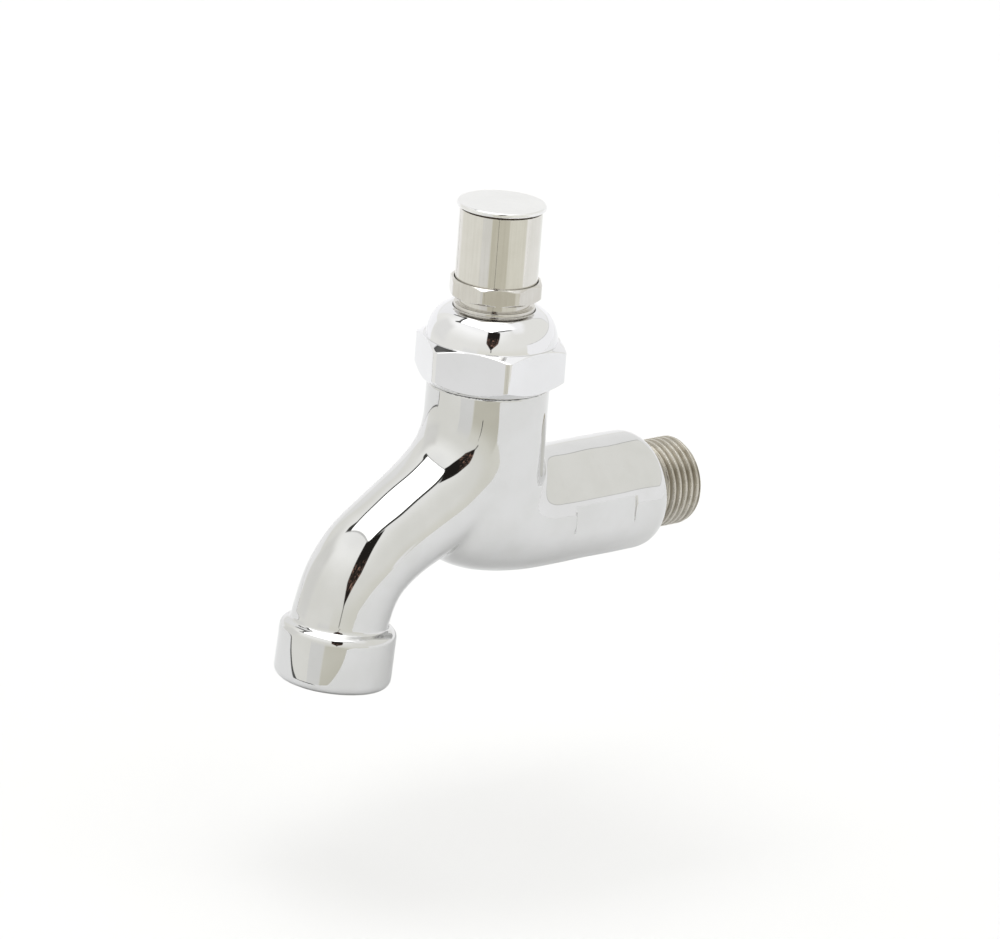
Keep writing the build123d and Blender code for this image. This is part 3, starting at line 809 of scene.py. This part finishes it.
def nipple_shape():
    """The threaded nipple: rows along the inlet's axis, each row's radius cut by the helix."""
    columns = 180
    angles = np.linspace(0, 2 * pi, columns, endpoint=False)
    back = SHOULDER_Y - NIPPLE_OVERLAP
    rows, threaded = nipple_outline(back)
    place = rows[:, :1]
    phase = (place / THREAD_PITCH - angles[None] / (2 * pi)) % 1
    flank = np.abs(phase - 0.5) * 2
    tooth = np.clip((flank - 0.06) / 0.69, 0, 1)
    fade = np.clip((place - back - THREAD_RUNOUT / 2) / THREAD_RUNOUT, 0, 1)
    helix = THREAD_R - THREAD_DEPTH + THREAD_DEPTH * tooth * fade
    radius = np.repeat(rows[:, 1:], columns, 1)
    radius[:threaded] = smooth_min(radius, helix, 0.05)[:threaded]
    x = radius * np.cos(angles)
    z = radius * np.sin(angles)
    y = np.repeat(place, columns, 1)
    points = np.stack([x, y, z], -1).reshape(-1, 3)
    return with_normals(points, grid_quads(len(rows), columns)[:, ::-1])


def nut_shape():
    """Hexagon turned down at both ends, under a dome that closes in on the gland."""
    dome = [
        (9.6 + 5.9 * cos(a), 43.1 + 8.4 * sin(a), 0)
        for a in np.radians(np.linspace(8, 86, 40))
    ]
    corners = [
        (13.4, 33.4, 0.3),
        (14.6, 33.4, 0.25),
        (18.15, 35.8, 0.3),
        (18.15, 42.9, 0.3),
        (15.9, 44.1, 0.25),
        (15.45, 44.15, 0.0),
        *dome,
        (9.6, 51.5, 0.25),
        (9.6, 45.0, 0),
        (13.4, 45.0, 0),
    ]
    outline = rounded(corners, 0.12)
    angles = wrench_columns(300, 6, NUT_TURN)
    hexagon = (33.5, 44.4, 6, NUT_APOTHEM, NUT_TURN, 1.0, 0.25)
    return with_normals(*turned(outline, angles, hexagon))


def gland_shape():
    """Octagonal head with its well, stepped neck, flange and cartridge socket."""
    corners = [
        (8.0, 36.0, 0.2),
        (10.0, 36.0, 0.2),
        (10.0, 42.0, 0),
        (13.0, 42.0, 0.2),
        (13.0, 44.9, 0.2),
        (9.5, 44.9, 0),
        (9.5, 52.3, 0.3),
        (8.3, 52.3, 0.1),
        (8.3, 54.2, 0.1),
        (10.3, 54.2, 0.2),
        (11.0, 54.75, 0.2),
        (11.0, 57.75, 0.2),
        (10.3, 58.3, 0.12),
        (9.8, 58.3, 0.12),
        (9.8, 55.2, 0),
        (4.9, 55.2, 0),
        (4.9, 47.0, 0),
        (3.3, 47.0, 0),
        (3.3, 45.0, 0),
        (8.0, 45.0, 0),
    ]
    outline = rounded(corners, 0.25)
    angles = wrench_columns(256, 8, OCTAGON_TURN)
    octagon = (54.25, 58.25, 8, OCTAGON_APOTHEM, OCTAGON_TURN, 0.3, 0.15)
    return with_normals(*turned(outline, angles, octagon))


def barrel_shape():
    """Thin drawn cap with the web that the stem is fastened to."""
    corners = [
        (8.62, 57.8, 0.2),
        (9.62, 57.8, 0.2),
        (9.62, CAP_SEAM, 0.08),
        (9.0, CAP_SEAM, 0.08),
        (9.0, 75.4, 0),
        (8.62, 75.4, 0),
        (8.62, 69.5, 0.3),
        (2.2, 69.5, 0),
        (2.2, 67.5, 0),
        (8.62, 67.5, 0.3),
    ]
    angles = np.linspace(0, 2 * pi, 160, endpoint=False)
    return with_normals(*turned(rounded(corners, 0.4), angles))


def disc_shape():
    """Top plate with a rolled rim, and the spigot that holds it in the barrel. Its outline stops
    a hair short of the axis, so that no face there has a side without length."""
    hole = 0.02
    corners = [
        (hole, 74.9, 0),
        (7.4, 74.9, 0.2),
        (7.4, 73.4, 0),
        (8.6, 73.4, 0.2),
        (8.6, 75.4, 0),
        (10.4, 75.4, 0.35),
        (10.4, 76.5, 0.5),
        (hole, 76.5, 0),
    ]
    angles = np.linspace(0, 2 * pi, 160, endpoint=False)
    return with_normals(*turned(rounded(corners, 0.5), angles))


def spring_shape():
    """Round wire wound into a helix between its washer and the cap's web: points, quads, and how
    many points go around the wire."""
    turns = 5
    around = 14
    per_turn = 72
    wire = 0.55
    mean = 7.3
    low = 56.4
    high = 66.85
    along = np.linspace(0, 2 * pi * turns, turns * per_turn)
    ring = np.linspace(0, 2 * pi, around, endpoint=False)
    rise = (high - low) / (2 * pi * turns)
    tilt = np.arctan2(rise, mean)
    outward = mean + wire * np.cos(ring)[None]
    sideways = -wire * np.sin(ring)[None] * sin(tilt)
    x = outward * np.cos(along)[:, None] - sideways * np.sin(along)[:, None]
    y = outward * np.sin(along)[:, None] + sideways * np.cos(along)[:, None] + NECK_Y
    z = low + rise * along[:, None] + wire * np.sin(ring)[None] * cos(tilt)
    points = np.stack([x, y, z], -1).reshape(-1, 3)
    quads = grid_quads(len(along), around, closed_rows=False)
    return points, quads[:, ::-1], around


def add_spring():
    """The return spring, closed at its ends, fixed to the valve body."""
    points, quads, around = spring_shape()
    last = len(points) - 1
    ends = [list(range(around)), list(range(last, last - around, -1))]
    faces = quads.tolist() + ends
    mesh = bpy.data.meshes.new("return_coil")
    mesh.from_pydata((points * MM).tolist(), [], faces)
    mesh.shade_smooth()
    mesh.materials.append(MATERIALS["stainless"])
    made = bpy.data.objects.new("return_coil", mesh)
    bpy.context.scene.collection.objects.link(made)
    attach(made, "valve_body")
    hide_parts("return_spring")
    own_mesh(made)


net_pitch = 0.5
net_low = (-15.4, -118.2, -36.0)
net_high = (15.4, -11.2, 42.0)
casting = surface_net(casting_distance, net_low, net_high, net_pitch)
add_piece("cast_body", casting, "body", "valve_body", "faucet_body")
add_piece("inlet_nipple", nipple_shape(), "thread", "valve_body", "faucet_body")
add_piece("dome_nut", nut_shape(), "nut", "valve_body", "bonnet_nut")
add_piece("octagon_gland", gland_shape(), "gland", "valve_body", "gland")
add_piece("push_barrel", barrel_shape(), "barrel", "push_cap", "cap_barrel")
add_piece("push_disc", disc_shape(), "disc", "push_cap", "cap_disc")
add_spring()

for part in frame["record"]["subparts"]:
    shown = nodes[part["node"]].data.materials
    shown.clear()
    shown.append(MATERIALS[SLOT_MATERIALS[part["material_slot"]]])


# --- Stage: camera, floor and light -----------------------------------------------------------
def add_camera():
    """Long lens at the photograph's angle, rolled a little."""
    data = bpy.data.cameras.new("camera")
    data.sensor_width = CAMERA_SENSOR
    data.lens = CAMERA_LENS
    made = bpy.data.objects.new("camera", data)
    bpy.context.scene.collection.objects.link(made)
    flat = cos(CAMERA_ELEVATION)
    back = np.array([sin(CAMERA_AZIMUTH) * flat, -cos(CAMERA_AZIMUTH) * flat, sin(CAMERA_ELEVATION)])
    level = np.array([cos(CAMERA_AZIMUTH), sin(CAMERA_AZIMUTH), 0])
    steep = np.cross(back, level)
    right = cos(CAMERA_ROLL) * level + sin(CAMERA_ROLL) * steep
    up = cos(CAMERA_ROLL) * steep - sin(CAMERA_ROLL) * level
    place = np.array(CAMERA_AIM) + CAMERA_DISTANCE * back
    rows = np.stack([right, up, back, place], 1).tolist()
    made.matrix_world = Matrix([*rows, (0, 0, 0, 1)])
    bpy.context.scene.camera = made


def add_flat(name, corners, paint):
    """A flat stage piece from its corner points, in metres."""
    mesh = bpy.data.meshes.new(name)
    mesh.from_pydata(corners, [], [list(range(len(corners)))])
    mesh.materials.append(paint)
    made = bpy.data.objects.new(name, mesh)
    bpy.context.scene.collection.objects.link(made)
    return made


def pale_paint(name, first, second):
    """Matte paper with very faint clouds."""
    paint = bpy.data.materials.new(name)
    graph = Graph(paint)
    place = graph.object_place()
    clouds = graph.noise(place, 3.0, 2.0, 0.5)
    finish_surface(graph, graph.mix(clouds, (*first, 1), (*second, 1)), 0.9)
    return paint


def add_floor():
    """Round pale floor a little below the faucet, left out of the reflections."""
    height = cad_box[0][2] - FLOOR_GAP
    turns = np.linspace(0, 2 * pi, 64, endpoint=False)
    ring = [(FLOOR_REACH * cos(a), FLOOR_REACH * sin(a), height) for a in turns]
    floor = add_flat("floor", ring, pale_paint("pale_floor", (0.84,) * 3, (0.86,) * 3))
    floor.visible_glossy = False


def shaded_paper():
    """White paper, darker in the faucet's contact shadow."""
    paint = bpy.data.materials.new("card_paper")
    graph = Graph(paint)
    place = graph.object_place()
    x, y, _ = graph.parts(place)
    clouds = graph.noise(place, 3.0, 2.0, 0.5)
    lit = graph.mix(clouds, (0.835, 0.84, 0.855, 1), (0.865, 0.87, 0.885, 1))
    off_x = graph.math("SUBTRACT", x, SHADOW_CENTRE[0])
    off_y = graph.math("SUBTRACT", y, SHADOW_CENTRE[1])
    out_of_shadow = graph.step(graph.length(off_x, off_y), SHADOW_NEAR, SHADOW_FAR)
    finish_surface(graph, graph.mix(out_of_shadow, (0.36, 0.36, 0.37, 1), lit), 0.9)
    return paint


def add_strip(name, line, height, paint):
    """A narrow flat strip along a line of (x, y) points."""
    near = [(x, y, height) for x, y in line]
    far = [(x + EDGE_WIDTH / 2, y + EDGE_WIDTH, height) for x, y in line[::-1]]
    return add_flat(name, far + near, paint)


def add_card():
    """White paper under the faucet with a dark strip along its front left edge, a painted shadow of the
    paper's edge, and a cable's thin line on the table beyond it. Only reflections see them."""
    sheet = [(x, y, PAPER_HEIGHT) for x, y in PAPER_FRONT]
    sheet += [(PAPER_FRONT[-1][0], PAPER_BACK, PAPER_HEIGHT), (PAPER_FRONT[0][0], PAPER_BACK, PAPER_HEIGHT)]
    card = add_flat("paper_card", sheet[::-1], shaded_paper())
    shade = pale_paint("edge_shade", (0.05,) * 3, (0.07,) * 3)
    # Painted shadow: a dark strip along the paper's front left edge.
    edge = add_strip("paper_edge_shadow", PAPER_FRONT[1:], PAPER_HEIGHT + 0.0002, shade)
    cable = add_strip("cable_line", CABLE_LINE, PAPER_HEIGHT, shade)
    for piece in (card, edge, cable):
        piece.visible_camera = False
        piece.visible_diffuse = False
        piece.visible_shadow = False
        piece.visible_transmission = False


# --- Studio painted on the world --------------------------------------------------------------
# Angles are in degrees: azimuth from +Y towards +X, height above the horizon. u and v are places
# on the ceiling, as multiples of its height over the faucet.
WALL = (0.95, 0.945, 0.905, 1)
DARK_LINE = (0.06, 0.06, 0.055, 1)
BOX_DIM = (1.12, 1.12, 1.12, 1)


class Sky:
    """The direction from the faucet, in the measures that the studio's shapes use."""

    def __init__(self, graph):
        self.way = graph.add("ShaderNodeTexCoord").outputs["Generated"]
        self.x, self.y, self.z = graph.parts(self.way)
        degree = 180 / pi
        self.azimuth = graph.math("MULTIPLY", graph.math("ARCTAN2", self.x, self.y), degree)
        self.height = graph.math("MULTIPLY", graph.math("ARCSINE", self.z), degree)
        over = graph.math("MAXIMUM", self.z, 0.05)
        self.u = graph.math("DIVIDE", self.x, over)
        self.v = graph.math("DIVIDE", self.y, over)


def paint_walls(graph, sky):
    """Pale walls: brighter high up in front, darker and warmer low down towards the camera."""
    front = graph.math("MULTIPLY", graph.step(sky.y, 0.2, -0.6), graph.step(sky.height, 10.0, 55.0))
    colour = graph.mix(front, WALL, (1.22, 1.22, 1.20, 1))
    colour = graph.mix(graph.step(sky.height, 40.0, 62.0), colour, (1.12, 1.12, 1.11, 1))
    low = graph.step(sky.height, 8.0, -12.0)
    plain = graph.math("MULTIPLY", graph.step(sky.azimuth, 148.0, 156.0), low)
    colour = graph.mix(plain, colour, (0.87, 0.87, 0.86, 1))
    low = graph.step(sky.height, 12.0, -6.0)
    warm = graph.math("MULTIPLY", graph.band(sky.azimuth, 52.0, 153.0, 3.0), low)
    colour = graph.mix(warm, colour, (0.88, 0.87, 0.80, 1))
    low = graph.step(sky.height, -4.0, -18.0)
    below = graph.math("MULTIPLY", graph.band(sky.azimuth, 104.0, 153.0, 2.0), low)
    colour = graph.mix(below, colour, (0.68, 0.66, 0.57, 1))
    level = graph.band(sky.height, -4.0, 37.0, 7.0)
    left = graph.math("MULTIPLY", graph.band(sky.azimuth, -142.0, -104.0, 8.0), level)
    return graph.mix(left, colour, (0.89, 0.885, 0.86, 1))


def paint_back_wall(graph, sky, colour):
    """The back wall, and the lighter left wall beyond its dark corner line."""
    level = graph.band(sky.height, 14.0, 58.0, 4.0)
    behind = graph.math("MULTIPLY", graph.step(sky.y, 0.02, 0.12), level)
    across = graph.mix(graph.step(sky.u, -0.60, -0.58, 1.0, 0.0), WALL, (1.0, 1.0, 1.0, 1))
    colour = graph.mix(behind, colour, across)
    seam = graph.math("MULTIPLY", behind, graph.band(sky.u, -0.61, -0.58, 0.008))
    return graph.mix(graph.math("MULTIPLY", seam, 0.6), colour, DARK_LINE)


def paint_sweep(graph, sky, colour):
    """White sweep behind and to the right, with a dark upper edge."""
    reach = graph.ramp(sky.height, -16.0, -4.0, 51.0, 66.0)
    inner = graph.step(graph.math("SUBTRACT", sky.azimuth, reach), -1.0, 1.0, 1.0, 0.0)
    inner = graph.math("MULTIPLY", inner, graph.step(sky.azimuth, -101.0, -99.0))
    sweep = graph.math("MULTIPLY", graph.step(sky.height, 11.4, 12.6, 1.0, 0.0), inner)
    colour = graph.mix(sweep, colour, (1.07, 1.07, 1.08, 1))
    line = graph.band(sky.height, 11.7, 12.5, 0.3)
    edge = graph.math("MULTIPLY", line, graph.band(sky.azimuth, -30.0, 66.0, 1.0))
    return graph.mix(graph.math("MULTIPLY", edge, 0.4), colour, DARK_LINE)


def paint_box_frame(graph, sky, high, colour):
    """The soft box's dark frame, wide at its left corners."""
    far_corner = graph.step(sky.v, -0.02, 0.14, 0.0, 0.45)
    near_corner = graph.step(sky.v, -0.36, -0.46, 0.0, 0.16)
    outer = graph.math("SUBTRACT", -0.655, graph.math("ADD", far_corner, near_corner))
    side = graph.step(graph.math("SUBTRACT", sky.u, outer), -0.05, 0.02)
    side = graph.math("MULTIPLY", side, graph.step(sky.u, 0.59, 0.62, 1.0, 0.0))
    rim = graph.math("MULTIPLY", side, graph.band(sky.v, -0.525, 0.20, 0.015))
    return graph.mix(graph.math("MULTIPLY", rim, high), colour, DARK_LINE)


def paint_soft_box(graph, sky, colour):
    """Soft box overhead in its frame, dimmer towards the back, with a glow on the ceiling there."""
    high = graph.step(sky.z, 0.3, 0.4)
    colour = paint_box_frame(graph, sky, high, colour)
    glow = graph.math("MULTIPLY", graph.band(sky.u, -0.9, 0.9, 0.3), graph.band(sky.v, 0.16, 0.62, 0.12))
    glow = graph.math("MULTIPLY", graph.math("MULTIPLY", glow, high), 0.8)
    colour = graph.mix(glow, colour, BOX_DIM)
    lit = graph.mix(graph.step(sky.v, -0.05, 0.40), (2.4, 2.4, 2.4, 1), BOX_DIM)
    across = graph.band(sky.u, -0.585, 0.51, 0.012)
    box = graph.math("MULTIPLY", across, graph.band(sky.v, -0.51, 0.42, 0.02))
    return graph.mix(graph.math("MULTIPLY", box, high), colour, lit)


def paint_stand(graph, sky, colour):
    """Dark stand, narrower towards the ground, with a little reddish brown in its lower half."""
    middle = graph.ramp(sky.height, 6.0, 50.0, 131.0, 126.0)
    lower_half = graph.ramp(sky.height, 6.0, 21.0, 0.7, 10.5)
    half = graph.math("ADD", lower_half, graph.ramp(sky.height, 21.0, 54.0, 0.0, 4.5))
    off = graph.math("ABSOLUTE", graph.math("SUBTRACT", sky.azimuth, middle))
    column = graph.step(graph.math("SUBTRACT", off, half), -1.0, 1.0, 1.0, 0.0)
    column = graph.math("MULTIPLY", column, graph.band(sky.height, 5.0, 55.5, 1.0))
    foot = graph.band(sky.height, -1.0, 8.0, 1.0)
    leg = graph.math("MULTIPLY", graph.band(sky.azimuth, 129.5, 131.5, 0.5), foot)
    stand = graph.math("MAXIMUM", column, graph.math("MULTIPLY", leg, 0.7))
    speckle = graph.step(graph.noise(sky.way, 24.0, 4.0, 0.7), 0.50, 0.66)
    brown = graph.math("MULTIPLY", speckle, graph.band(sky.height, 8.0, 33.0, 5.0))
    dark = graph.mix(brown, (0.02, 0.018, 0.016, 1), (0.42, 0.24, 0.18, 1))
    return graph.mix(stand, colour, dark)


def add_world():
    """Soft white studio, whose colours are chosen by direction from the faucet."""
    world = bpy.data.worlds.new("studio")
    bpy.context.scene.world = world
    graph = Graph(world)
    sky = Sky(graph)
    colour = paint_walls(graph, sky)
    colour = paint_back_wall(graph, sky, colour)
    colour = paint_sweep(graph, sky, colour)
    colour = paint_soft_box(graph, sky, colour)
    colour = paint_stand(graph, sky, colour)
    light = graph.add("ShaderNodeBackground")
    graph.put(light.inputs[0], colour)
    graph.put(graph.add("ShaderNodeOutputWorld").inputs[0], light.outputs[0])


add_camera()
add_floor()
add_card()
add_world()
bpy.context.scene.view_settings.view_transform = "Standard"
